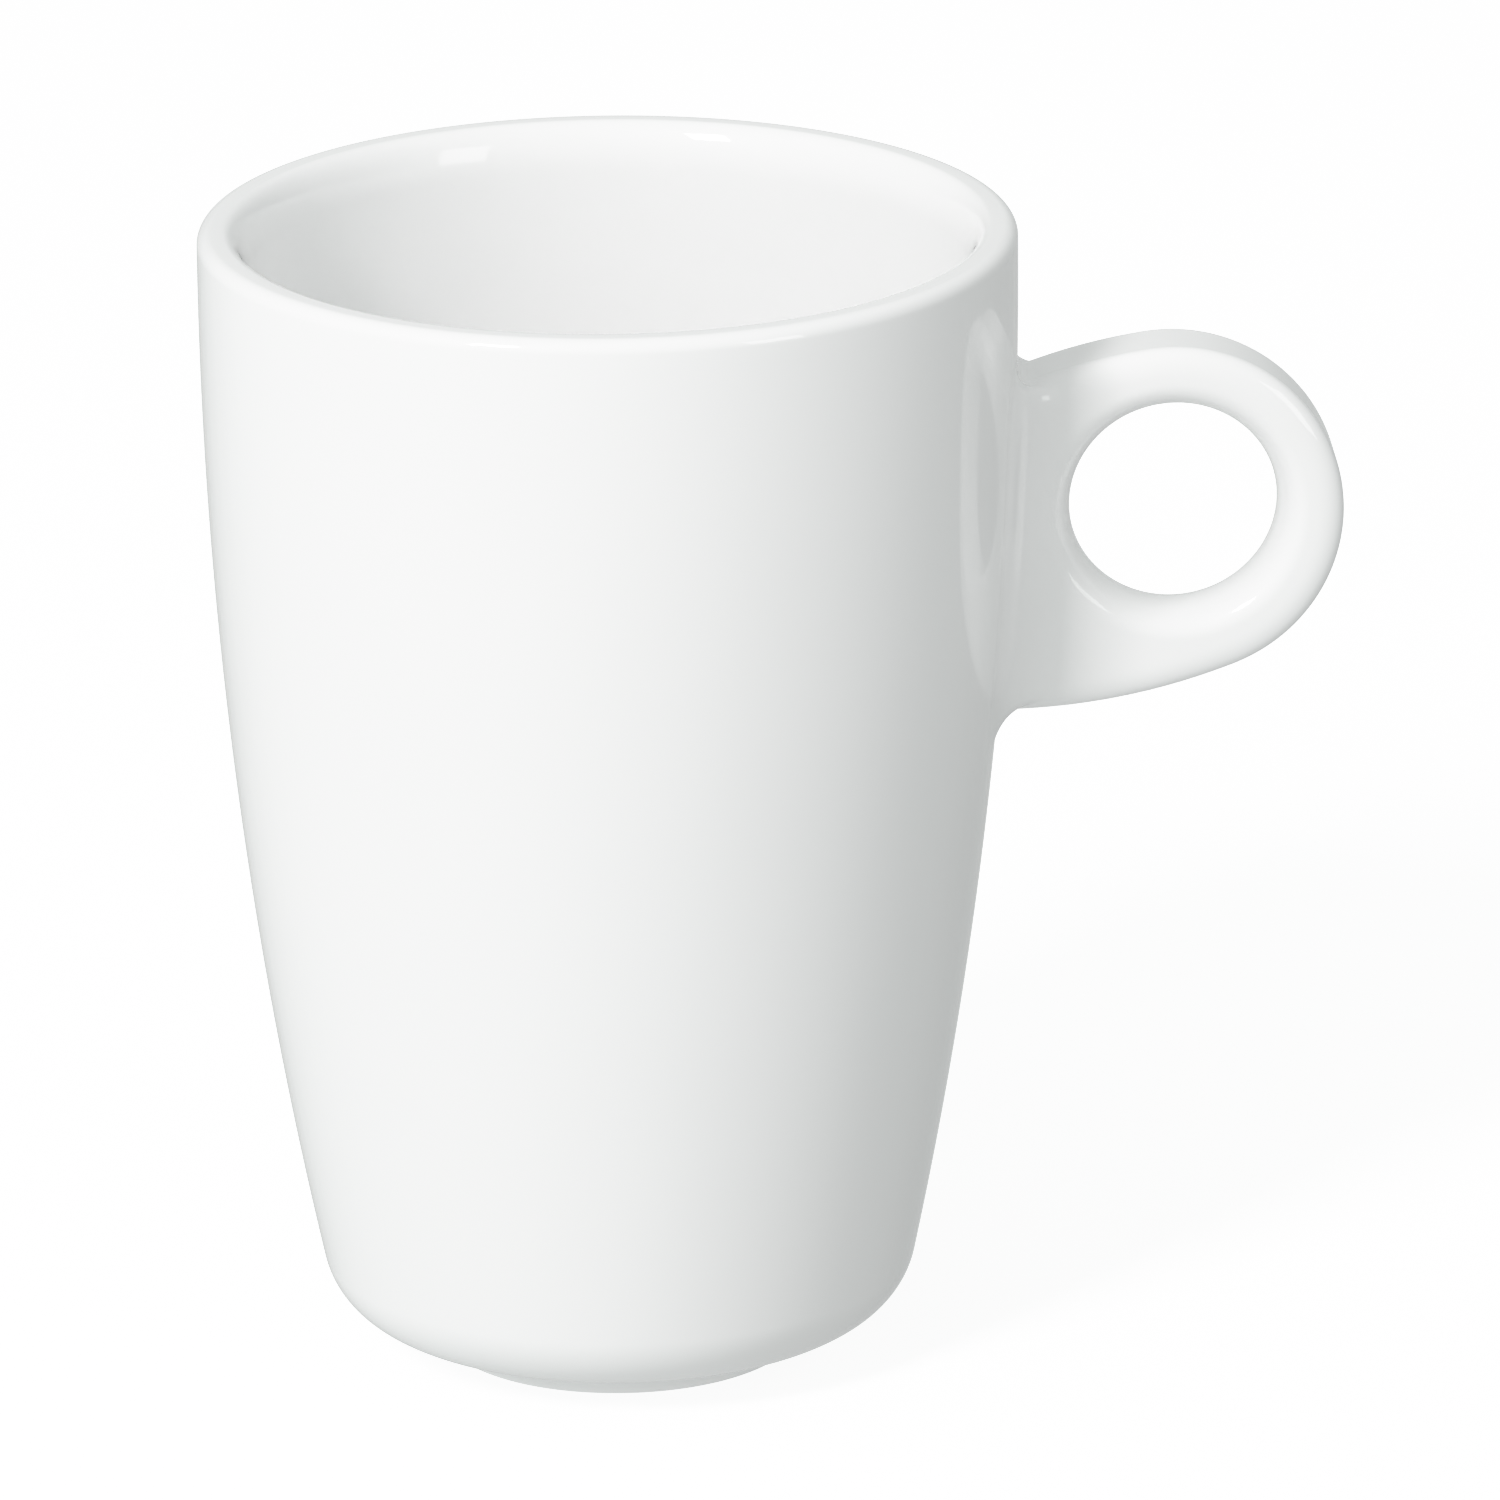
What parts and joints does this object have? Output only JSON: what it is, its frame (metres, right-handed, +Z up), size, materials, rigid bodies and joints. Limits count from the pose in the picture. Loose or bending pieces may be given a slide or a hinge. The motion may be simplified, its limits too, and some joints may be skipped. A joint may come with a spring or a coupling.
{
  "type": "mug",
  "caption": "Tall tapering porcelain mug with a rounded lip, a small foot ring and a ring handle with a flared root, glazed white.",
  "frame": {"origin": "under the middle of the whole mug's box, in the plane it stands on; this point is on the foot ring, 15.2 mm from the cup's axis towards the handle", "axes": "+Z up along the cup's axis, which stands at x = -0.0152 m; +X from the cup towards the handle"},
  "size_m": [0.107, 0.0766, 0.11],
  "materials": {
    "glazed_porcelain": "white porcelain under a clear gloss glaze",
    "fired_slip": "matte fired clay"
  },
  "bodies": {
    "root": {"cup_body": "glazed_porcelain", "handle": "glazed_porcelain", "slip_joint": "fired_slip"}
  },
  "joints": []
}
